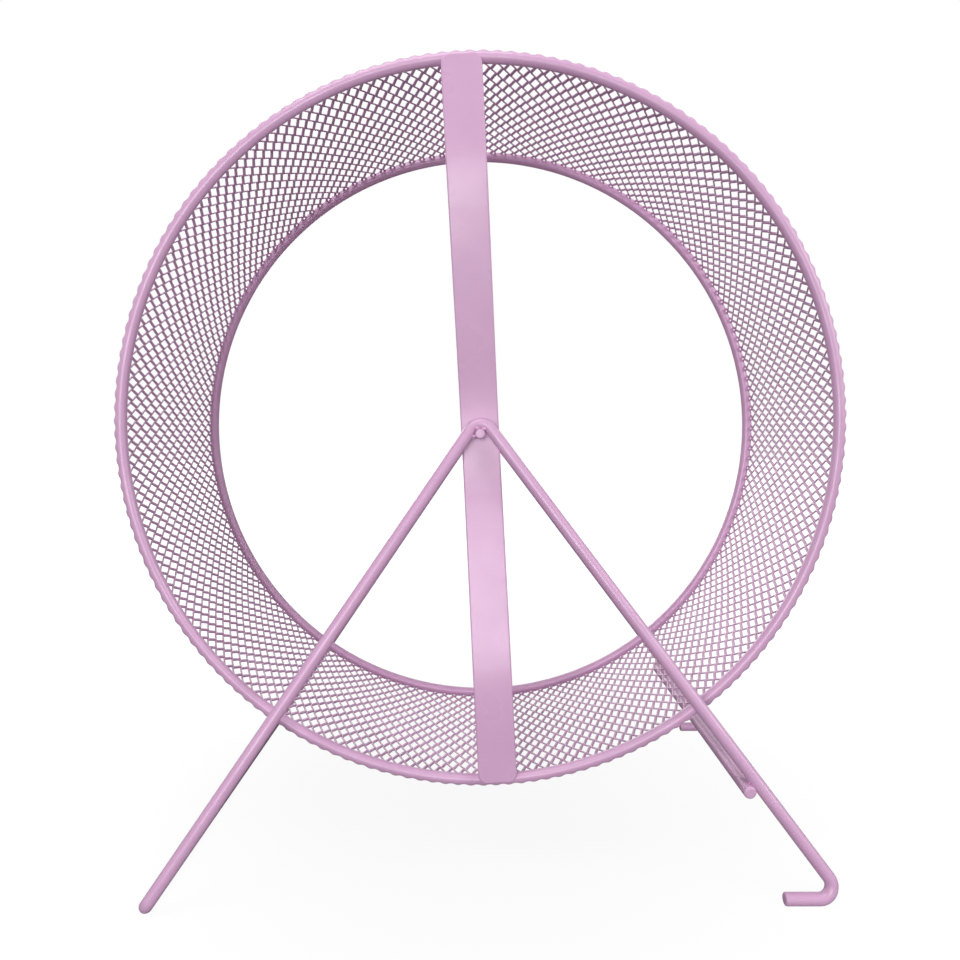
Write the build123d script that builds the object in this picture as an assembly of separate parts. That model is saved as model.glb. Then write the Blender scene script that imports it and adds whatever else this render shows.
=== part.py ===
from build123d import *

import math
import os

# A running wheel for a hamster, made of coated steel wire, strap and expanded metal mesh.
# Millimetres. The origin is on the floor under the middle of the wheel, +Z is up,
# +X is to the right seen from the front, and +Y runs from the front to the back, along the axle.
# Every size includes the coloured coating.

# Wheel
drum_diameter = 200.0  # over the mesh
ring_spacing = 73.0  # between the centre planes of the two rings
ring_wire = 3.0
rest_turn = 2.9  # degrees that the bars lean at rest, their tops to the left

# Mesh: the real sheet has 171 diamonds round and 11.5 across. They are drawn here at about
# twice that pitch and with strands in proportion, so that the sheet stays light.
mesh_thickness = 0.6
mesh_panels = 16
cells_per_panel = 6
half_rows = 13  # diamond rows across, where each next one is shifted by half a diamond
strand_width = 1.6
tooth_length = 0.8  # how far the sheet's cut edges pass the rings' centre planes

# Bars: one flat strap across each ring, dished inwards to the hub
bar_width = 10.8
bar_thickness = 1.8
bar_end_radius = 98.0
bar_corner_radius = 2.5
bar_edge_radius = 0.5
bar_dish = 12.0
dish_start_radius = 68.0
hub_flat_radius = 9.0
bar_bend_radius = 80.0

# Axle
axle_height = 122.0
axle_diameter = 2.8
axle_clearance = 0.08  # between the axle and the bar's hole, all round
axle_end_proud = 0.6  # how far the axle's ends stand out of the stand's arches

# Stand: one bent wire, and a straight brace between its two right legs
stand_wire = 3.4
bend_radius = 3.4  # of the wire's centre line, at the arches and the right feet
left_bend_radius = 2.2  # at the left feet
foot_right = 94.8  # from the axle to where the right leg's line meets the floor wire's line
foot_left = 85.5
foot_splay_right = 21.4  # from a ring's centre plane out to the right feet
foot_splay_left = 26.4
arch_gap = 0.8  # between the arch's wire and the hub of the bar
front_hook = 15.8
rear_hook = 12.8
brace_wire = 3.4
brace_height = 30.0
brace_end_proud = 0.4  # how far the brace's ends pass the legs' wire

# Welds
seam_bite = 0.1  # ring into mesh, and bar into ring
wire_bite = 0.3  # wire into wire
weld_bead_radius = 1.2

# Worked out from the sizes above
drum_radius = drum_diameter / 2
ring_radius = drum_radius - mesh_thickness - ring_wire / 2 + seam_bite
front_plane = -ring_spacing / 2
axle_radius = axle_diameter / 2
floor_wire_height = stand_wire / 2
bar_face_to_plane = ring_wire / 2 + bar_thickness - seam_bite  # ring plane to the bar's outer face
hub_face_y = front_plane - bar_face_to_plane + bar_dish  # outer face of the front bar at its hub
right_foot_y = front_plane - foot_splay_right
left_foot_y = front_plane - foot_splay_left
arch_centre_height = axle_height + axle_radius - wire_bite - (bend_radius - stand_wire / 2)
arch_top_height = arch_centre_height + bend_radius
arch_top_y = hub_face_y - arch_gap - stand_wire / 2
mean_foot_y = (right_foot_y + left_foot_y) / 2
frame_slope = (arch_top_y - mean_foot_y) / (arch_top_height - floor_wire_height)


def legs_meet():
    """Where the centre lines of the two front legs would meet above the arch."""
    height = arch_top_height
    for _ in range(6):
        drop = height - floor_wire_height
        half_angle = (math.atan(foot_right / drop) + math.atan(foot_left / drop)) / 2
        height = arch_centre_height + bend_radius / math.sin(half_angle)
    return Vector(0, arch_top_y + (height - arch_top_height) * frame_slope, height)


def mirrored(shape):
    """The same piece at the back of the wheel."""
    return mirror(shape, about=Plane.XZ)


def at_rest(shape):
    """Turns a piece of the wheel about the axle to where it stands at rest."""
    about_axle = Pos(0, 0, axle_height) * Rot(0, -rest_turn, 0) * Pos(0, 0, -axle_height)
    return about_axle * shape


def ring():
    """The front ring, a round wire bent to a circle and butt-welded."""
    wire = Torus(ring_radius, ring_wire / 2, rotation=(90, 0, 0))
    return Pos(0, front_plane, axle_height) * wire


def diamond(angle, along, half_width, half_length):
    """A cutter for one hole of the mesh, with its centre at an angle and a distance along the axis."""
    direction = Vector(math.cos(angle), math.sin(angle), 0)
    inside = drum_radius - 2 * mesh_thickness
    plane = Plane(
        origin=direction * inside + Vector(0, 0, along),
        x_dir=(-direction.Y, direction.X, 0),
        z_dir=direction,
    )
    corners = [(half_width, 0), (0, half_length), (-half_width, 0), (0, -half_length)]
    return extrude(plane * Polygon(*corners, align=None), 3 * mesh_thickness)


def mesh_panel():
    """One curved panel of the mesh, with the drum's axis along Z and the front ring at Z = 0."""
    panel_angle = 2 * math.pi / mesh_panels
    pitch_angle = panel_angle / cells_per_panel
    half_cell_width = pitch_angle * drum_radius / 2
    half_cell_length = ring_spacing / half_rows
    side_distance = half_cell_width * half_cell_length / math.hypot(half_cell_width, half_cell_length)
    hole_share = 1 - strand_width / 2 / side_distance

    cross_section = Rectangle(mesh_thickness, ring_spacing + 2 * tooth_length)
    middle = Pos(drum_radius - mesh_thickness / 2, ring_spacing / 2)
    panel = revolve(Plane.XZ * middle * cross_section, Axis.Z, math.degrees(panel_angle))

    cutters = []
    for row in range(half_rows + 1):
        shift = 0.5 * (row % 2)
        for column in range(cells_per_panel + 1 - row % 2):
            angle = (column + shift) * pitch_angle
            along = row * half_cell_length
            size = (half_cell_width * hole_share, half_cell_length * hole_share)
            cutters.append(diamond(angle, along, *size))
    return panel - cutters


def mesh_band():
    """The rolled mesh, as curved panels that meet face to face along the drum's length."""
    panel = mesh_panel()
    to_drum = Pos(0, front_plane, axle_height) * Rot(-90, 0, 0)
    turns = [Rot(0, 0, i * 360 / mesh_panels) for i in range(mesh_panels)]
    return Compound(children=[to_drum * turn * panel for turn in turns])


def bar():
    """The front bar: a strap with round corners, dished to the hub, with the axle's hole."""
    rim_y = front_plane - bar_face_to_plane + bar_thickness / 2
    hub_y = rim_y + bar_dish
    long_end = bar_end_radius + bar_width
    stations = [
        (rim_y, -long_end),
        (rim_y, -dish_start_radius),
        (hub_y, -hub_flat_radius),
        (hub_y, hub_flat_radius),
        (rim_y, dish_start_radius),
        (rim_y, long_end),
    ]
    line = FilletPolyline(*stations, radius=bar_bend_radius)
    section = Plane.YZ * trace(line, bar_thickness)
    strap = extrude(section, bar_width / 2, both=True)

    outline = RectangleRounded(bar_width, 2 * bar_end_radius, bar_corner_radius)
    strap &= extrude(Plane.XZ * outline, ring_spacing, both=True)
    flat_ends = strap.edges().filter_by(GeomType.LINE).filter_by(Axis.X)
    strap = fillet(long_edges(strap, flat_ends), bar_edge_radius)
    strap -= Cylinder(axle_radius + axle_clearance, 2 * ring_spacing, rotation=(90, 0, 0))
    return Pos(0, 0, axle_height) * strap


def long_edges(strap, left_out):
    """The edges of the strap's two faces that run all round it, without its end lines."""
    round_it = []
    for side in (bar_width / 2, -bar_width / 2):
        for edge in strap.edges():
            if abs(edge.center().X - side) < 0.01 and edge not in left_out:
                round_it.append(edge)
    return round_it


def axle():
    """The rod that the wheel turns on, welded under the two arches."""
    arch_face = arch_top_y - stand_wire / 2
    return Pos(0, 0, axle_height) * Cylinder(
        axle_radius, 2 * (axle_end_proud - arch_face), rotation=(90, 0, 0)
    )


def stand():
    """The stand's one wire, from the front hook over both arches to the rear hook."""
    low = floor_wire_height
    top = legs_meet()
    route = [
        (foot_right - front_hook, right_foot_y, low),
        (foot_right, right_foot_y, low),
        (0, top.Y, top.Z),
        (-foot_left, left_foot_y, low),
        (-foot_left, -left_foot_y, low),
        (0, -top.Y, top.Z),
        (foot_right, -right_foot_y, low),
        (foot_right - rear_hook, -right_foot_y, low),
    ]
    front_half = [bend_radius, bend_radius, left_bend_radius]
    line = FilletPolyline(*route, radius=front_half + front_half[::-1])
    start = Plane(origin=line @ 0, z_dir=line % 0)
    return sweep(start * Circle(stand_wire / 2), path=line)


def brace_place():
    """Centre of the brace beside the front right leg, and the leg's centre line there."""
    top = legs_meet()
    leg = Vector(foot_right, right_foot_y, floor_wire_height) - top
    on_leg = top + leg * ((top.Z - brace_height) / (top.Z - floor_wire_height))
    inwards = Vector(leg.Z, 0, -leg.X).normalized()
    apart = (stand_wire + brace_wire) / 2 - wire_bite
    return on_leg + inwards * apart, on_leg


def brace():
    """The straight wire between the two right legs."""
    centre, on_leg = brace_place()
    reach = -on_leg.Y + stand_wire / 2 + brace_end_proud
    return Pos(centre.X, 0, centre.Z) * Cylinder(brace_wire / 2, 2 * reach, rotation=(90, 0, 0))


def bead_pair(x, y, z):
    """Two weld beads, one at the front and its twin at the back."""
    front = Pos(x, y, z) * Sphere(weld_bead_radius)
    return Compound(children=[front, mirrored(front)])


def axle_welds():
    """Beads that hold the axle under the arches."""
    height = arch_top_height - stand_wire / 2 + wire_bite
    return bead_pair(0, arch_top_y - stand_wire / 4, height)


def brace_welds():
    """Beads in the corners between the brace and the right legs."""
    centre, on_leg = brace_place()
    middle = (centre + on_leg) * 0.5
    return bead_pair(middle.X, on_leg.Y + stand_wire / 4, middle.Z)


def build():
    """Every piece by name."""
    front_ring = ring()
    front_bar = at_rest(bar())
    return {
        "front_ring": front_ring,
        "rear_ring": mirrored(front_ring),
        "mesh_band": at_rest(mesh_band()),
        "front_bar": front_bar,
        "rear_bar": mirrored(front_bar),
        "axle": axle(),
        "stand_frame": stand(),
        "brace": brace(),
        "axle_welds": axle_welds(),
        "brace_welds": brace_welds(),
    }


os.makedirs("parts", exist_ok=True)
for name, shape in build().items():
    export_step(shape, f"parts/{name}.step", write_pcurves=False)
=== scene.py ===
"""Looks of the running wheel: coated wires, straps, rolled mesh, welds, floor, lamps and camera.

Lengths in the pieces' classes are millimetres, as the maker's are, and turn to metres when a
mesh is stored. The studio's lengths are metres, but for the camera's place. The origin is on
the floor under the middle of the wheel, +Z is up, +X is to the right seen from the front, and
+Y runs from the front to the back.
"""

import logging
import math
from dataclasses import dataclass, field
from enum import Enum

import bpy
import numpy as np
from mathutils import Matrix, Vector


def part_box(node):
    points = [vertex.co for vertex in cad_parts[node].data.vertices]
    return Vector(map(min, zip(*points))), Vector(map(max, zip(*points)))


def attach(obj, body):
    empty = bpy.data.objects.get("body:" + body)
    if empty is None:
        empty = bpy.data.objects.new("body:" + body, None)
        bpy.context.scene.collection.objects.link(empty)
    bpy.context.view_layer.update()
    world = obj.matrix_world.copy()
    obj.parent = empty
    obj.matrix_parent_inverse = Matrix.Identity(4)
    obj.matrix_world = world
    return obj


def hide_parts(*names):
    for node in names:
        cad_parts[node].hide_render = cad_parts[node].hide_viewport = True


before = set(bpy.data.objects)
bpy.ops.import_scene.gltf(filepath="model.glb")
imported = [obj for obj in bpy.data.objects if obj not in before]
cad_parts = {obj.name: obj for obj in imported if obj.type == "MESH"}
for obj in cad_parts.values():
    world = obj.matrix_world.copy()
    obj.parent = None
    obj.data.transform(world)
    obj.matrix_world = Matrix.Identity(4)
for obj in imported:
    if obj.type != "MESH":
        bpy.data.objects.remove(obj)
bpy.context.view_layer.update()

MILLIMETRE = 0.001
CELLS_ROUND = 171  # diamonds of the mesh round the drum
WIRE_SIDES = 28  # points round a section of a wire
BEND_STEPS = 16  # points on each bend of a wire
LONGEST_RUN = 6.0  # millimetres between two sections of a bent wire
LONGEST_ROD_RUN = 4.0  # millimetres between two sections of a straight rod
CUT_EDGE_STEPS = 5  # sections on the rounded edge of a wire's cut end
SLANT = (0.3, 0.5, 0.9)  # a direction that no wire here starts along
LOG = logging.getLogger("wheel")


class Side(Enum):
    """Front and back of the wheel, as the sign of Y."""

    FRONT = -1.0
    BACK = 1.0


class Body(Enum):
    """The two bodies that pieces ride on."""

    STAND = "stand"
    WHEEL = "wheel"


def millimetres(node: str) -> tuple[np.ndarray, np.ndarray]:
    """Corners of a solid's box.

    Args:
        node: Name of the solid's node.

    Returns:
        Its lowest and highest corner, in millimetres.
    """
    low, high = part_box(node)
    return np.array(low) / MILLIMETRE, np.array(high) / MILLIMETRE


def grid_faces(rows: int, columns: int, close_rows: bool, close_columns: bool) -> np.ndarray:
    """Quads of a grid of points that is stored row by row.

    Args:
        rows: Number of rows of points.
        columns: Number of points in a row.
        close_rows: Whether the last row joins the first one.
        close_columns: Whether the last point of a row joins its first one.

    Returns:
        An array of four point numbers for each quad.
    """
    row = np.arange(rows if close_rows else rows - 1)
    column = np.arange(columns if close_columns else columns - 1)
    this_row, this_column = np.meshgrid(row, column, indexing="ij")
    next_row = (this_row + 1) % rows
    next_column = (this_column + 1) % columns
    corners = [
        this_row * columns + this_column,
        this_row * columns + next_column,
        next_row * columns + next_column,
        next_row * columns + this_column,
    ]
    return np.stack(corners, axis=-1).reshape(-1, 4)


def end_faces(first: int, sides: int) -> np.ndarray:
    """Quads that close a flat ring of points like the rungs of a ladder.

    Rung i joins points i and i + 1 of the ring to their mirror images, sides - 2 - i and
    sides - 1 - i, so that an even ring is filled from one side to the other.

    Args:
        first: Number of the ring's first point.
        sides: Number of points round the ring, an even one.

    Returns:
        An array of four point numbers for each quad.
    """
    rung = np.arange(sides // 2 - 1)
    corners = [rung, rung + 1, sides - 2 - rung, sides - 1 - rung]
    return first + np.stack(corners, axis=-1)


def tube_faces(rings: int, sides: int) -> np.ndarray:
    """Quads of a closed tube of rings of points, with both its ends filled.

    The points of each ring run anticlockwise, seen from the tube's far end.

    Args:
        rings: Number of rings.
        sides: Number of points round each ring.

    Returns:
        An array of four point numbers for each quad, facing outwards.
    """
    walls = grid_faces(rings, sides, False, True)
    near = end_faces(0, sides)[:, ::-1]
    far = end_faces((rings - 1) * sides, sides)
    return np.concatenate([walls, near, far])


@dataclass
class Surface:
    """Points and quads of one piece, gathered before they become a mesh."""

    points: list[np.ndarray] = field(default_factory=list)
    quads: list[np.ndarray] = field(default_factory=list)
    count: int = 0

    def add(self, points: np.ndarray, quads: np.ndarray) -> None:
        """Adds closed shells.

        Args:
            points: Their points in millimetres, one row each.
            quads: Their quads, counted from the first of these points.
        """
        self.points.append(points)
        self.quads.append(quads + self.count)
        self.count += len(points)

    def piece(self, name: str, body: Body, finish: bpy.types.Material) -> bpy.types.Object:
        """Makes the object, smooth shaded, at the origin, riding on its body.

        Args:
            name: Name of the piece.
            body: The body that it moves with.
            finish: Its material.

        Returns:
            The new object.
        """
        points = np.concatenate(self.points) * MILLIMETRE
        quads = np.concatenate(self.quads)
        mesh = bpy.data.meshes.new(name)
        mesh.vertices.add(len(points))
        mesh.vertices.foreach_set("co", points.astype(np.float32).ravel())
        mesh.loops.add(quads.size)
        mesh.loops.foreach_set("vertex_index", quads.astype(np.int32).ravel())
        mesh.polygons.add(len(quads))
        mesh.polygons.foreach_set("loop_start", np.arange(0, quads.size, 4, dtype=np.int32))
        mesh.update(calc_edges=True)
        mesh.polygons.foreach_set("use_smooth", np.ones(len(quads), bool))
        mesh.validate()
        mesh.materials.append(finish)
        thing = bpy.data.objects.new(name, mesh)
        bpy.context.scene.collection.objects.link(thing)
        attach(thing, body.value)
        LOG.info("%s: %d quads", name, len(quads))
        return thing


def unit(vectors: np.ndarray) -> np.ndarray:
    """Vectors of length one along the given ones.

    Args:
        vectors: One vector, or one in each row.

    Returns:
        An array of the same shape.
    """
    return vectors / np.linalg.norm(vectors, axis=-1, keepdims=True)


def carried_directions(path: np.ndarray) -> tuple[np.ndarray, np.ndarray, np.ndarray]:
    """Directions at each point of a path, carried along it with the least turn.

    Args:
        path: Points of the path, one row each.

    Returns:
        The path's own direction at each point, and two that are square to it and each other.
    """
    forward = unit(np.gradient(path, axis=0))
    across = np.empty_like(forward)
    across[0] = unit(np.cross(forward[0], SLANT))
    for i in range(1, len(path)):
        across[i] = unit(across[i - 1] - forward[i] * np.dot(across[i - 1], forward[i]))
    return forward, across, np.cross(forward, across)


def wire_along(path: np.ndarray, radius: float, end_rounding: float) -> tuple[np.ndarray, np.ndarray]:
    """A round wire along an open path, with slightly rounded cut ends.

    Each section is a circle, point = centre + radius * (cos a * across + sin a * up), square to
    the path. At each end the edge follows a quarter circle: with t from 0 to 90 degrees, the
    section lies rounding * (1 - cos t) inside the end and is rounding * (1 - sin t) smaller
    than the wire. A smaller ring in the plane of the cut carries the end's faces.

    Args:
        path: Points of the centre line, one row each.
        radius: Radius of the wire.
        end_rounding: Radius of the edge of a cut end.

    Returns:
        The points and the quads of the closed shell.
    """
    forward, across, up = carried_directions(path)
    turn = np.linspace(0, math.pi / 2, CUT_EDGE_STEPS)
    inset = np.append(0, end_rounding * (1 - np.cos(turn)))
    edge_radius = radius - end_rounding * (1 - np.sin(turn))
    edge_radius = np.append((radius - end_rounding) / 2, edge_radius)
    steps = len(inset)
    middle = np.arange(1, len(path) - 1)
    source = np.concatenate([np.zeros(steps, int), middle, np.full(steps, len(path) - 1)])
    radii = np.concatenate([edge_radius, np.full(len(middle), radius), edge_radius[::-1]])
    shift = np.concatenate([inset, np.zeros(len(middle)), -inset[::-1]])
    centres = path[source] + forward[source] * shift[:, None]

    angle = np.linspace(0, 2 * math.pi, WIRE_SIDES, endpoint=False)[None, :, None]
    rim = np.cos(angle) * across[source][:, None] + np.sin(angle) * up[source][:, None]
    points = centres[:, None] + radii[:, None, None] * rim
    return points.reshape(-1, 3), tube_faces(len(centres), WIRE_SIDES)


def bent_line(corners: np.ndarray, radii: list[float]) -> np.ndarray:
    """A path of straight runs joined by tangent arcs.

    At a corner where the path turns by an angle, the arc starts radius * tan(angle / 2) before
    the corner and ends as far after it. Its centre lies on the corner's bisector.

    Args:
        corners: The points where the runs would meet, with both ends, one row each.
        radii: Radius of the arc at each corner between the ends.

    Returns:
        Points of the path, one row each.
    """
    parts = [corners[:1]]
    for before, corner, after, radius in zip(corners[:-2], corners[1:-1], corners[2:], radii):
        into = unit(corner - before)
        out = unit(after - corner)
        turn = math.acos(float(np.clip(into @ out, -1, 1)))
        start = corner - into * radius * math.tan(turn / 2)
        side = unit(out - into * (into @ out))
        angle = np.linspace(0, turn, BEND_STEPS)[:, None]
        parts.append(start + radius * (np.sin(angle) * into + (1 - np.cos(angle)) * side))
    parts.append(corners[-1:])
    return with_even_runs(np.concatenate(parts), LONGEST_RUN)


def with_even_runs(path: np.ndarray, longest: float) -> np.ndarray:
    """The same path with points added so that no run is longer than a length.

    Args:
        path: Points of the path.
        longest: Longest run that may stay.

    Returns:
        The points with the added ones between them.
    """
    parts = []
    for a, b in zip(path[:-1], path[1:]):
        pieces = max(1, math.ceil(np.linalg.norm(b - a) / longest))
        share = np.linspace(0, 1, pieces, endpoint=False)[:, None]
        parts.append(a + (b - a) * share)
    parts.append(path[-1:])
    return np.concatenate(parts)


def add_noise(
    tree: bpy.types.ShaderNodeTree, place: bpy.types.Node, scale: float, detail: float
) -> bpy.types.Node:
    """Adds a noise on object coordinates.

    Args:
        tree: The tree that gets the node.
        place: The tree's node of texture coordinates.
        scale: Cycles per metre.
        detail: Number of finer layers.

    Returns:
        The noise's node.
    """
    noise = tree.nodes.new("ShaderNodeTexNoise")
    noise.inputs["Scale"].default_value = scale
    noise.inputs["Detail"].default_value = detail
    tree.links.new(place.outputs["Object"], noise.inputs["Vector"])
    return noise


def add_range(
    tree: bpy.types.ShaderNodeTree,
    value: bpy.types.NodeSocket,
    given: tuple[float, float],
    wanted: tuple[float, float],
) -> bpy.types.NodeSocket:
    """Adds a node that carries a value from one range to another, and holds it there.

    Args:
        tree: The tree that gets the node.
        value: The value.
        given: Lowest and highest value of its range.
        wanted: What these two turn into.

    Returns:
        The socket with the result.
    """
    node = tree.nodes.new("ShaderNodeMapRange")
    for name, number in zip(("From Min", "From Max", "To Min", "To Max"), (*given, *wanted)):
        node.inputs[name].default_value = number
    tree.links.new(value, node.inputs["Value"])
    return node.outputs["Result"]


def add_math(
    tree: bpy.types.ShaderNodeTree,
    operation: str,
    first: bpy.types.NodeSocket,
    second: bpy.types.NodeSocket,
) -> bpy.types.NodeSocket:
    """Adds one operation on two values.

    Args:
        tree: The tree that gets the node.
        operation: Name of the operation.
        first: The first value.
        second: The second value.

    Returns:
        The socket with the result.
    """
    node = tree.nodes.new("ShaderNodeMath")
    node.operation = operation
    tree.links.new(first, node.inputs[0])
    tree.links.new(second, node.inputs[1])
    return node.outputs["Value"]


def add_mix(
    tree: bpy.types.ShaderNodeTree,
    share: bpy.types.NodeSocket,
    first: bpy.types.NodeSocket,
    second: bpy.types.NodeSocket,
) -> bpy.types.NodeSocket:
    """Adds a mix of two colours.

    Args:
        tree: The tree that gets the node.
        share: Share of the second colour.
        first: The first colour.
        second: The second colour.

    Returns:
        The socket with the result.
    """
    node = tree.nodes.new("ShaderNodeMix")
    node.data_type = "RGBA"
    tree.links.new(share, node.inputs["Factor"])
    tree.links.new(first, node.inputs["A"])
    tree.links.new(second, node.inputs["B"])
    return node.outputs["Result"]


def add_mixed_shader(
    tree: bpy.types.ShaderNodeTree,
    share: bpy.types.NodeSocket,
    first: bpy.types.Node,
    second: bpy.types.Node,
    output: bpy.types.Node,
) -> None:
    """Adds a mix of two shaders in front of the tree's output.

    Args:
        tree: The tree that gets the node.
        share: Share of the second shader.
        first: The first shader.
        second: The second shader.
        output: The tree's output.
    """
    mix = tree.nodes.new("ShaderNodeMixShader")
    tree.links.new(share, mix.inputs["Fac"])
    tree.links.new(first.outputs[0], mix.inputs[1])
    tree.links.new(second.outputs[0], mix.inputs[2])
    tree.links.new(mix.outputs[0], output.inputs["Surface"])


@dataclass(frozen=True)
class PowderCoat:
    """The pink-lilac powder coat, one glossy layer over all the steel.

    The scales of the noises are in cycles per metre, and the pairs are ranges of a noise or of
    the surface's pointiness that are carried to a share.
    """

    colour: tuple[float, float, float] = (0.70, 0.42, 0.64)
    deep_colour: tuple[float, float, float] = (0.60, 0.33, 0.54)
    roughness: float = 0.30
    specular: float = 0.38
    clear_layer: float = 0.12
    clear_roughness: float = 0.12
    broad_scale: float = 90.0
    broad_detail: float = 3.0
    pooled_range: tuple[float, float] = (0.35, 0.75)
    pooled_share: float = 0.35
    uneven_range: tuple[float, float] = (0.3, 0.7)
    uneven_roughness: tuple[float, float] = (-0.05, 0.07)
    fine_scale: float = 1400.0
    fine_detail: float = 2.0
    speck_range: tuple[float, float] = (0.62, 0.75)
    speck_share: float = 0.10
    peel_size: float = 1.6
    peel_detail: float = 1.0
    peel_height: float = 0.000015
    usual_wear: float = 0.5
    edge_range: tuple[float, float] = (0.52, 0.62)
    worn_saturation: float = 0.7
    worn_value: float = 1.12

    def mottle_group(self) -> bpy.types.ShaderNodeTree:
        """The shared group that varies the coat's colour and roughness.

        A broad noise shifts the colour between thick and thin coat, and a fine one adds the
        specks of the powder. Worn edges, where the coat has drawn back from a sharp edge,
        come from the surface's pointiness.

        Returns:
            The node group, with Colour, Deep Colour, Roughness and Edge Wear as inputs.
        """
        group = bpy.data.node_groups.new("coat_mottle", "ShaderNodeTree")
        self.add_sockets(group)
        nodes, link = group.nodes, group.links.new
        given = nodes.new("NodeGroupInput")
        result = nodes.new("NodeGroupOutput")
        place = nodes.new("ShaderNodeTexCoord")
        broad = add_noise(group, place, self.broad_scale, self.broad_detail)
        fine = add_noise(group, place, self.fine_scale, self.fine_detail)
        peel = add_noise(group, place, 1 / (self.peel_size * MILLIMETRE), self.peel_detail)

        pooled = add_range(group, broad.outputs["Fac"], self.pooled_range, (0, self.pooled_share))
        specks = add_range(group, fine.outputs["Fac"], self.speck_range, (0, self.speck_share))
        both = add_math(group, "MAXIMUM", pooled, specks)
        base = add_mix(group, both, given.outputs["Colour"], given.outputs["Deep Colour"])
        worn, pale = self.add_wear(group, given, fine)
        uneven = add_range(group, broad.outputs["Fac"], self.uneven_range, self.uneven_roughness)
        rough = add_math(group, "ADD", given.outputs["Roughness"], uneven)
        link(add_mix(group, worn, base, pale), result.inputs["Colour"])
        link(rough, result.inputs["Roughness"])
        link(peel.outputs["Fac"], result.inputs["Height"])
        return group

    def add_sockets(self, group: bpy.types.ShaderNodeTree) -> None:
        """Adds the shared group's inputs and outputs.

        Args:
            group: The group.
        """
        for name, kind, value in (
            ("Colour", "NodeSocketColor", (*self.colour, 1)),
            ("Deep Colour", "NodeSocketColor", (*self.deep_colour, 1)),
            ("Roughness", "NodeSocketFloat", self.roughness),
            ("Edge Wear", "NodeSocketFloat", self.usual_wear),
        ):
            socket = group.interface.new_socket(name, in_out="INPUT", socket_type=kind)
            socket.default_value = value
        for name, kind in (
            ("Colour", "NodeSocketColor"),
            ("Roughness", "NodeSocketFloat"),
            ("Height", "NodeSocketFloat"),
        ):
            group.interface.new_socket(name, in_out="OUTPUT", socket_type=kind)

    def add_wear(
        self, group: bpy.types.ShaderNodeTree, given: bpy.types.Node, fine: bpy.types.Node
    ) -> tuple[bpy.types.NodeSocket, bpy.types.NodeSocket]:
        """Adds the wear at sharp edges, made ragged by the fine noise.

        Args:
            group: The shared group.
            given: Its input node.
            fine: The fine noise.

        Returns:
            The sockets with the share of the worn coat and with its colour.
        """
        shape = group.nodes.new("ShaderNodeNewGeometry")
        edge = add_range(group, shape.outputs["Pointiness"], self.edge_range, (0, 1))
        ragged = add_math(group, "MULTIPLY", edge, fine.outputs["Fac"])
        worn = add_math(group, "MULTIPLY", ragged, given.outputs["Edge Wear"])
        pale = group.nodes.new("ShaderNodeHueSaturation")
        pale.inputs["Saturation"].default_value = self.worn_saturation
        pale.inputs["Value"].default_value = self.worn_value
        group.links.new(given.outputs["Colour"], pale.inputs["Color"])
        return worn, pale.outputs["Color"]

    def material(self, name: str, group: bpy.types.ShaderNodeTree, wear: float) -> bpy.types.Material:
        """A coat for one kind of piece.

        Args:
            name: Name of the material.
            group: The shared group from mottle_group.
            wear: How much of the edges' coat has drawn back, from 0 to 1.

        Returns:
            The material.
        """
        coat = bpy.data.materials.new(name)
        coat.use_nodes = True
        tree = coat.node_tree
        shader = tree.nodes["Principled BSDF"]
        shader.inputs["Specular IOR Level"].default_value = self.specular
        shader.inputs["Coat Weight"].default_value = self.clear_layer
        shader.inputs["Coat Roughness"].default_value = self.clear_roughness
        mottle = tree.nodes.new("ShaderNodeGroup")
        mottle.node_tree = group
        mottle.inputs["Edge Wear"].default_value = wear
        bump = tree.nodes.new("ShaderNodeBump")
        bump.inputs["Distance"].default_value = self.peel_height
        tree.links.new(mottle.outputs["Height"], bump.inputs["Height"])
        tree.links.new(mottle.outputs["Colour"], shader.inputs["Base Color"])
        tree.links.new(mottle.outputs["Roughness"], shader.inputs["Roughness"])
        tree.links.new(bump.outputs["Normal"], shader.inputs["Normal"])
        return coat


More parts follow.
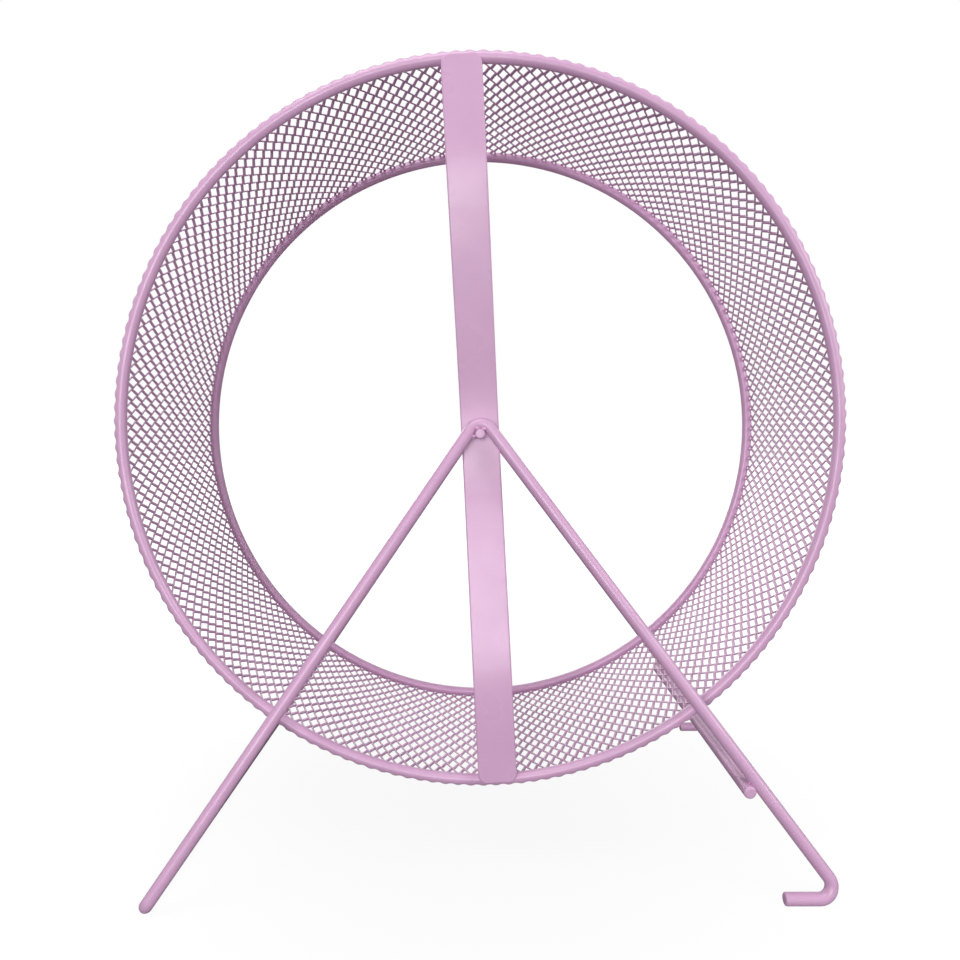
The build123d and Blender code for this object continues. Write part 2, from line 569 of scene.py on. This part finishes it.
@dataclass
class RunningMesh:
    """The rolled sheet of raised expanded metal.

    Its strands are slats that zigzag across the drum, each joined to its left and its right
    neighbour in turn. All slats lean the same way, as the press leaves them, and they lie
    flatter and wider where the sheet is pressed and welded onto the rings.
    """

    outer_radius: float
    width: float
    axle_height: float
    half_rows: int = 23
    slat_width: float = 0.88
    slat_thickness: float = 0.46
    lean: float = 25.0
    edge_lean: float = 3.0
    edge_widening: float = 0.34
    edge_sink: float = 0.45
    edge_rows: float = 0.8
    overlap: float = 0.10
    places_in_row: tuple[float, ...] = (0.0, 0.09, 0.18, 0.5, 0.82, 0.91)
    swings_in_row: tuple[float, ...] = (1.0, 0.97, 0.80, 0.0, -0.80, -0.97)
    quarters: int = 4

    def stations(self) -> tuple[np.ndarray, np.ndarray]:
        """Where the sections of a slat are, and how it swings there.

        The swing is flat where two slats are joined, turns over a short curve and then
        crosses in a straight line to the other side.

        Returns:
            Distances across the drum counted in half rows, and swings from -1, joined to the
            neighbour before, to +1, joined to the next one.
        """
        row = np.arange(self.half_rows)[:, None]
        along = (row + np.array(self.places_in_row)).ravel()
        side = np.where(row % 2 == 0, 1.0, -1.0) * np.array(self.swings_in_row)
        last = 1.0 if self.half_rows % 2 == 0 else -1.0
        return np.append(along, self.half_rows), np.append(side.ravel(), last)

    def pressed_share(self, along: np.ndarray) -> np.ndarray:
        """How far the sheet is pressed flat, from 1 at its cut edges to 0 a little inside.

        Args:
            along: Distances across the drum counted in half rows.

        Returns:
            The share at each distance.
        """
        rows_in = np.minimum(along, self.half_rows - along)
        return 1 - np.clip(rows_in / self.edge_rows, 0, 1)

    def hexagons(self, lean: np.ndarray, half_width: np.ndarray) -> tuple[np.ndarray, np.ndarray]:
        """The six corners of a slat's section, as wide and as leaning as each section is.

        A corner at side along the slat's width and thick along its thickness lies at
        (side cos lean - thick sin lean, side sin lean + thick cos lean).

        Args:
            lean: Lean of each section in radians.
            half_width: Half the slat's width at each section.

        Returns:
            The corners' places round the drum and outwards, one row for each section.
        """
        half_thick = self.slat_thickness / 2
        flat = (half_width - half_thick)[:, None]
        tip = half_width[:, None]
        side = np.concatenate([flat, tip, flat, -flat, -tip, -flat], axis=1)
        thick = half_thick * np.array([-1, 0, 1, 1, 0, -1])
        cos, sin = np.cos(lean)[:, None], np.sin(lean)[:, None]
        return side * cos - thick * sin, side * sin + thick * cos

    def slats(self, first: int, last: int) -> tuple[np.ndarray, np.ndarray]:
        """The slats from first up to last, as closed shells.

        In the unrolled sheet, u runs round the drum, v across it and n outwards. Slat k has
        its middle at u = (k + 1/2) * pitch / 2. Where its swing is s, its centre is at
        u = middle + s * (pitch / 4 - half the slat's width along u), with the same swing
        taken off along n, so that joined slats lie side by side along the leaning width.
        Its section is a hexagon of the slat's width and thickness, turned by the lean. Then
        angle = u / radius rolls the sheet up.

        Args:
            first: Number of the first slat.
            last: One more than the number of the last slat.

        Returns:
            The points and the quads of all these slats.
        """
        along, swing = self.stations()
        pitch = 2 * math.pi * self.outer_radius / CELLS_ROUND
        pressed = self.pressed_share(along)
        lean = np.radians(self.lean + (self.edge_lean - self.lean) * pressed)
        half_width = self.slat_width / 2 * (1 + self.edge_widening * pressed)
        joined_width = half_width - self.overlap

        number = np.arange(first, last)[:, None]
        sign = np.where(number % 2 == 0, 1.0, -1.0)
        middle_u = (number + 0.5) * pitch / 2 + sign * swing * (pitch / 4 - joined_width * np.cos(lean))
        middle_n = -sign * swing * joined_width * np.sin(lean)
        corner_u, corner_n = self.hexagons(lean, half_width)
        u = middle_u[..., None] + corner_u
        n = middle_n[..., None] + corner_n

        depth = 2 * half_width * np.sin(lean) + self.slat_thickness / 2 * np.cos(lean)
        radius = (self.outer_radius - depth - self.edge_sink * pressed)[:, None] + n
        angle = u / self.outer_radius
        across = along / self.half_rows * self.width - self.width / 2
        y = np.broadcast_to(across[:, None], u.shape)
        z = radius * np.sin(angle) + self.axle_height
        points = np.stack([radius * np.cos(angle), y, z], axis=-1)
        sections, sides = points.shape[1:3]
        step = np.arange(len(number)) * sections * sides
        quads = tube_faces(sections, sides)[None] + step[:, None, None]
        return points.reshape(-1, 3), quads.reshape(-1, 4)

    def build(self, finish: bpy.types.Material) -> None:
        """Makes the sheet as a few curved pieces, each with its share of the slats.

        Args:
            finish: The coat.
        """
        edges = np.linspace(0, 2 * CELLS_ROUND, self.quarters + 1).astype(int)
        for number, (first, last) in enumerate(zip(edges[:-1], edges[1:]), start=1):
            surface = Surface()
            surface.add(*self.slats(first, last))
            piece = surface.piece(f"running_mesh_{number}", Body.WHEEL, finish)
            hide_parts("mesh_band")


@dataclass
class Ring:
    """One of the drum's two rings of round wire, with the sheet's cut edge under its coat."""

    node: str
    first_bump: float
    bump_height: float = 0.42
    steps_per_cell: int = 10
    sides: int = 24

    def build(self, finish: bpy.types.Material) -> None:
        """Makes the ring as a torus about the axle, with a low bump over each cell's tip.

        With turn a round the drum and b round the wire, bump = height * wave * max(0, cos b)^2,
        where wave = (1 + cos(cells * a - 2 pi * first)) / 2. Then radius = middle + wire * cos b
        + bump, and the point is (radius * cos a, centre + wire * sin b, radius * sin a).

        Args:
            finish: The coat.
        """
        low, high = millimetres(self.node)
        wire = (high[1] - low[1]) / 2
        middle = (high[0] - low[0]) / 2 - wire
        centre = (low + high) / 2
        steps = CELLS_ROUND * self.steps_per_cell
        a = np.linspace(0, 2 * math.pi, steps, endpoint=False)[:, None]
        b = np.linspace(0, 2 * math.pi, self.sides, endpoint=False)[None, :]
        wave = (1 + np.cos(CELLS_ROUND * a - 2 * math.pi * self.first_bump)) / 2
        bump = self.bump_height * wave * np.maximum(0, np.cos(b)) ** 2
        radius = middle + wire * np.cos(b) + bump
        y = np.broadcast_to(centre[1] + wire * np.sin(b), radius.shape)
        points = np.stack([radius * np.cos(a), y, centre[2] + radius * np.sin(a)], axis=-1)
        surface = Surface()
        surface.add(points.reshape(-1, 3), grid_faces(steps, self.sides, True, True))
        piece = surface.piece(f"{self.node}_wire", Body.WHEEL, finish)
        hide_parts(self.node)


@dataclass
class Stand:
    """The stand's bent wire, from the front hook over both arches to the rear hook."""

    wire: float = 3.4
    bend_radius: float = 3.4
    left_bend_radius: float = 2.2
    foot_right: float = 94.8
    foot_left: float = 85.5
    right_foot_y: float = 57.9
    left_foot_y: float = 62.9
    front_hook: float = 15.8
    rear_hook: float = 12.8
    cut_rounding: float = 0.5
    arch_top: tuple[float, float] = (30.2, 124.8)  # behind the middle, and above the floor
    rounds_to_settle: int = 6

    def apex(self) -> tuple[float, float]:
        """Where the two legs' centre lines would meet above an arch.

        The arch touches both legs, so its centre lies bend radius / sin(half angle) under the
        apex. The half angle follows from the apex's height in turn, and settles in a few rounds.

        Returns:
            Its distance behind the middle and its height.
        """
        low = self.wire / 2
        arch_y, arch_height = self.arch_top
        height = arch_height
        for _ in range(self.rounds_to_settle):
            drop = height - low
            half = (math.atan(self.foot_right / drop) + math.atan(self.foot_left / drop)) / 2
            height = arch_height - self.bend_radius + self.bend_radius / math.sin(half)
        mean_foot_y = (self.right_foot_y + self.left_foot_y) / 2
        slope = (mean_foot_y - arch_y) / (arch_height - low)
        return arch_y - (height - arch_height) * slope, height

    def build(self, finish: bpy.types.Material) -> None:
        """Makes the bent wire.

        Args:
            finish: The coat.
        """
        low = self.wire / 2
        apex_y, apex_z = self.apex()
        right, left = self.foot_right, -self.foot_left
        right_y, left_y = self.right_foot_y, self.left_foot_y
        corners = np.array(
            [
                (right - self.front_hook, -right_y, low),
                (right, -right_y, low),
                (0, -apex_y, apex_z),
                (left, -left_y, low),
                (left, left_y, low),
                (0, apex_y, apex_z),
                (right, right_y, low),
                (right - self.rear_hook, right_y, low),
            ]
        )
        front_half = [self.bend_radius, self.bend_radius, self.left_bend_radius]
        path = bent_line(corners, front_half + front_half[::-1])
        surface = Surface()
        surface.add(*wire_along(path, self.wire / 2, self.cut_rounding))
        piece = surface.piece("stand_wire", Body.STAND, finish)
        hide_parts("stand_frame")


@dataclass(frozen=True)
class Blob:
    """One drop of weld metal, lumpy and covered by the coat."""

    place: tuple[float, float, float]
    size: tuple[float, float, float]
    turn: float
    round_lumps: float = 0.12
    end_lumps: float = 0.08
    sides: int = 20
    rings: int = 13
    pole_gap: float = 0.12

    def shell(self, side: Side) -> tuple[np.ndarray, np.ndarray]:
        """The drop as a closed shell.

        With a round the middle and b from top to bottom, the point lies at
        size * (sin b cos a, sin b sin a, cos b), times a lump factor of
        1 + round lumps * sin(3 a + turn) sin b + end lumps * cos(2 b + turn). The top and the
        bottom are cut off flat where b is the pole gap away from them.

        Args:
            side: The front or the back of the wheel.

        Returns:
            Its points and its quads.
        """
        a = np.linspace(0, 2 * math.pi, self.sides, endpoint=False)[None, :]
        b = np.linspace(self.pole_gap, math.pi - self.pole_gap, self.rings)[:, None]
        round_it = self.round_lumps * np.sin(3 * a + self.turn) * np.sin(b)
        lump = 1 + round_it + self.end_lumps * np.cos(2 * b + self.turn)
        ball = np.stack([np.sin(b) * np.cos(a), np.sin(b) * np.sin(a), np.cos(b) + 0 * a], axis=-1)
        points = ball * lump[..., None] * np.array(self.size) + np.array(self.place)
        points[..., 1] *= -side.value
        quads = tube_faces(self.rings, self.sides)
        if side is Side.FRONT:
            quads = quads[:, ::-1]
        return points.reshape(-1, 3), quads


def build_welds(node: str, name: str, blobs: list[Blob], finish: bpy.types.Material) -> None:
    """Makes the drops of one weld, and their twins at the other side of the wheel.

    Args:
        node: The solid that they stand for.
        name: Name of the piece.
        blobs: The drops, with their places measured at the front.
        finish: The coat.
    """
    surface = Surface()
    for side in Side:
        for blob in blobs:
            surface.add(*blob.shell(side))
    piece = surface.piece(name, Body.STAND, finish)
    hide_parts(node)


def axle_drops(axle_height: float) -> list[Blob]:
    """The drops round the axle's front end: two over it under the arch, and one at its left.

    Args:
        axle_height: Height of the axle above the floor.

    Returns:
        The three drops.
    """
    return [
        Blob(place=(-0.85, -31.6, axle_height + 1.45), size=(0.75, 0.95, 0.60), turn=0.4),
        Blob(place=(1.00, -31.6, axle_height + 1.40), size=(0.70, 0.90, 0.55), turn=2.1),
        Blob(place=(-1.75, -31.3, axle_height - 0.75), size=(0.60, 0.85, 0.65), turn=4.0),
    ]


def brace_drops() -> list[Blob]:
    """The drops between the brace and the front right leg, about the middle of the solid's bead.

    Returns:
        The two drops.
    """
    bead_radius = 1.2
    low, high = millimetres("brace_welds")
    x, y, z = (high[0] + low[0]) / 2, low[1] + bead_radius, (high[2] + low[2]) / 2
    return [
        Blob(place=(x - 0.5, y + 0.1, z + 0.6), size=(0.95, 1.00, 1.20), turn=0.9),
        Blob(place=(x + 0.4, y - 0.1, z - 0.4), size=(0.85, 0.90, 0.95), turn=3.0),
    ]


def build_rod(node: str, name: str, rounding: float, finish: bpy.types.Material) -> None:
    """Makes a straight rod along Y with softly rounded ends in a solid's place.

    Args:
        node: The solid that it stands for.
        name: Name of the piece.
        rounding: Radius of the edges of its cut ends.
        finish: The coat.
    """
    low, high = millimetres(node)
    centre = (low + high) / 2
    ends = np.array([(centre[0], low[1], centre[2]), (centre[0], high[1], centre[2])])
    path = with_even_runs(ends, LONGEST_ROD_RUN)
    surface = Surface()
    surface.add(*wire_along(path, (high[0] - low[0]) / 2, rounding))
    piece = surface.piece(name, Body.STAND, finish)
    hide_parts(node)


def dress_bars(finish: bpy.types.Material) -> None:
    """Gives the two straps, which stay as solids, their coat.

    Args:
        finish: The coat.
    """
    for node in ("front_bar", "rear_bar"):
        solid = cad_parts[node]
        solid.data.materials.clear()
        solid.data.materials.append(finish)
        LOG.info("%s: dressed", node)


@dataclass(frozen=True)
class SoftBox:
    """A square lamp that points at the middle of the wheel."""

    name: str
    place: tuple[float, float, float]
    size: float
    power: float
    target: tuple[float, float, float] = (0, 0, 0.12)

    def build(self) -> None:
        """Makes the lamp."""
        light = bpy.data.lights.new(self.name, "AREA")
        light.size = self.size
        light.energy = self.power
        lamp = bpy.data.objects.new(self.name, light)
        lamp.location = self.place
        aim = Vector(self.target) - Vector(self.place)
        lamp.rotation_euler = aim.to_track_quat("-Z", "Y").to_euler()
        bpy.context.scene.collection.objects.link(lamp)


SOFT_BOXES = (
    SoftBox("lamp_above", place=(-0.20, -0.30, 1.00), size=0.6, power=4.6),
    SoftBox("lamp_front", place=(-0.20, -1.0, 0.16), size=0.5, power=6.4),
    SoftBox("lamp_right", place=(0.80, -0.45, 0.45), size=0.4, power=3.2),
    SoftBox("lamp_back", place=(-0.35, 0.95, 0.50), size=0.6, power=4.0),
)


@dataclass
class Studio:
    """The pale floor, the white surround and the camera of the photograph."""

    camera_place: tuple[float, float, float] = (0.35, -245.0, 122.65)  # in millimetres
    pitch_down: float = 5.28
    lens: float = 28.5
    sensor_width: float = 36.0
    principal_point: tuple[float, float] = (481.5, 501.7)  # of the photograph, in pixels
    image_side: float = 960.0
    nearest_seen: float = 0.01
    floor_half: float = 3.0
    shadow_reach: float = 0.35
    paper_grey: float = 0.30
    paper_roughness: float = 0.9
    glow_strength: float = 1.16
    glow_in_middle: float = 0.78
    soft_light: float = 0.03

    def build(self) -> None:
        """Makes the floor, the world, the lamps and the camera."""
        self.floor()
        self.world()
        for box in SOFT_BOXES:
            box.build()
        self.camera()

    def floor(self) -> None:
        """A wide floor that is white to the camera and still takes the object's shadow."""
        mesh = bpy.data.meshes.new("floor")
        half = self.floor_half
        corners = [(-half, -half, 0), (half, -half, 0), (half, half, 0), (-half, half, 0)]
        mesh.from_pydata(corners, [], [(0, 1, 2, 3)])
        floor = bpy.data.objects.new("floor", mesh)
        bpy.context.scene.collection.objects.link(floor)
        mesh.materials.append(self.paper())

    def paper(self) -> bpy.types.Material:
        """Pale paper that also glows, to the camera alone and less so round the object.

        Returns:
            The material.
        """
        paper = bpy.data.materials.new("white_paper")
        paper.use_nodes = True
        tree = paper.node_tree
        shader = tree.nodes["Principled BSDF"]
        grey = self.paper_grey
        shader.inputs["Base Color"].default_value = (grey, grey, grey, 1)
        shader.inputs["Roughness"].default_value = self.paper_roughness
        shader.inputs["Specular IOR Level"].default_value = 0.0
        glow = tree.nodes.new("ShaderNodeEmission")
        glow.inputs["Color"].default_value = (1, 1, 1, 1)
        glow.inputs["Strength"].default_value = self.glow_strength
        add_mixed_shader(tree, self.glow_share(tree), shader, glow, tree.nodes["Material Output"])
        return paper

    def glow_share(self, tree: bpy.types.ShaderNodeTree) -> bpy.types.NodeSocket:
        """Share of the paper's glow, rising with the distance from the object's middle.

        Args:
            tree: The paper's node tree.

        Returns:
            The socket with the share, which is nothing for rays that don't come from the camera.
        """
        place = tree.nodes.new("ShaderNodeTexCoord")
        length = tree.nodes.new("ShaderNodeVectorMath")
        length.operation = "LENGTH"
        tree.links.new(place.outputs["Object"], length.inputs[0])
        fade = tree.nodes.new("ShaderNodeMapRange")
        fade.interpolation_type = "SMOOTHSTEP"
        fade.inputs["From Min"].default_value = 0.0
        fade.inputs["From Max"].default_value = self.shadow_reach
        fade.inputs["To Min"].default_value = self.glow_in_middle
        tree.links.new(length.outputs["Value"], fade.inputs["Value"])
        rays = tree.nodes.new("ShaderNodeLightPath")
        return add_math(tree, "MULTIPLY", rays.outputs["Is Camera Ray"], fade.outputs["Result"])

    def world(self) -> None:
        """A white surround for rays that are seen, and a plain soft light for the object."""
        world = bpy.data.worlds.new("studio")
        bpy.context.scene.world = world
        world.use_nodes = True
        tree = world.node_tree
        light = tree.nodes["Background"]
        light.inputs["Color"].default_value = (1, 1, 1, 1)
        light.inputs["Strength"].default_value = self.soft_light
        white = tree.nodes.new("ShaderNodeBackground")
        white.inputs["Color"].default_value = (1, 1, 1, 1)
        white.inputs["Strength"].default_value = 1.0
        rays = tree.nodes.new("ShaderNodeLightPath").outputs
        mirrored = add_math(tree, "MAXIMUM", rays["Is Camera Ray"], rays["Is Glossy Ray"])
        seen = add_math(tree, "MAXIMUM", mirrored, rays["Is Transmission Ray"])
        add_mixed_shader(tree, seen, light, white, tree.nodes["World Output"])

    def camera(self) -> None:
        """The camera, as it was fitted to the two rings of the photographed wheel."""
        data = bpy.data.cameras.new("camera")
        data.lens = self.lens
        data.sensor_width = self.sensor_width
        half = self.image_side / 2
        data.shift_x = (half - self.principal_point[0]) / self.image_side
        data.shift_y = (self.principal_point[1] - half) / self.image_side
        data.clip_start = self.nearest_seen
        camera = bpy.data.objects.new("camera", data)
        camera.location = Vector(self.camera_place) * MILLIMETRE
        camera.rotation_euler = (math.radians(90 - self.pitch_down), 0, 0)
        bpy.context.scene.collection.objects.link(camera)
        bpy.context.scene.camera = camera


def main() -> None:
    """Builds the pieces in order, then the studio."""
    logging.basicConfig(level=logging.INFO)
    coat = PowderCoat()
    group = coat.mottle_group()
    wire_coat = coat.material("coat_on_wire", group, wear=0.3)
    strap_coat = coat.material("coat_on_strap", group, wear=0.6)
    mesh_coat = coat.material("coat_on_mesh", group, wear=0.5)
    weld_coat = coat.material("coat_on_welds", group, wear=0.2)

    low, high = millimetres("mesh_band")
    axle_height = (low[2] + high[2]) / 2
    RunningMesh((high[0] - low[0]) / 2, high[1] - low[1], axle_height).build(mesh_coat)
    Ring("front_ring", first_bump=0.5).build(wire_coat)
    Ring("rear_ring", first_bump=0.0).build(wire_coat)
    Stand().build(wire_coat)
    build_rod("brace", "brace_wire", 0.6, wire_coat)
    build_rod("axle", "axle_rod", 0.35, wire_coat)
    build_welds("axle_welds", "axle_weld_drops", axle_drops(axle_height), weld_coat)
    build_welds("brace_welds", "brace_weld_drops", brace_drops(), weld_coat)
    dress_bars(strap_coat)

    Studio().build()
    bpy.context.scene.view_settings.view_transform = "Standard"


if __name__ == "__main__":
    main()
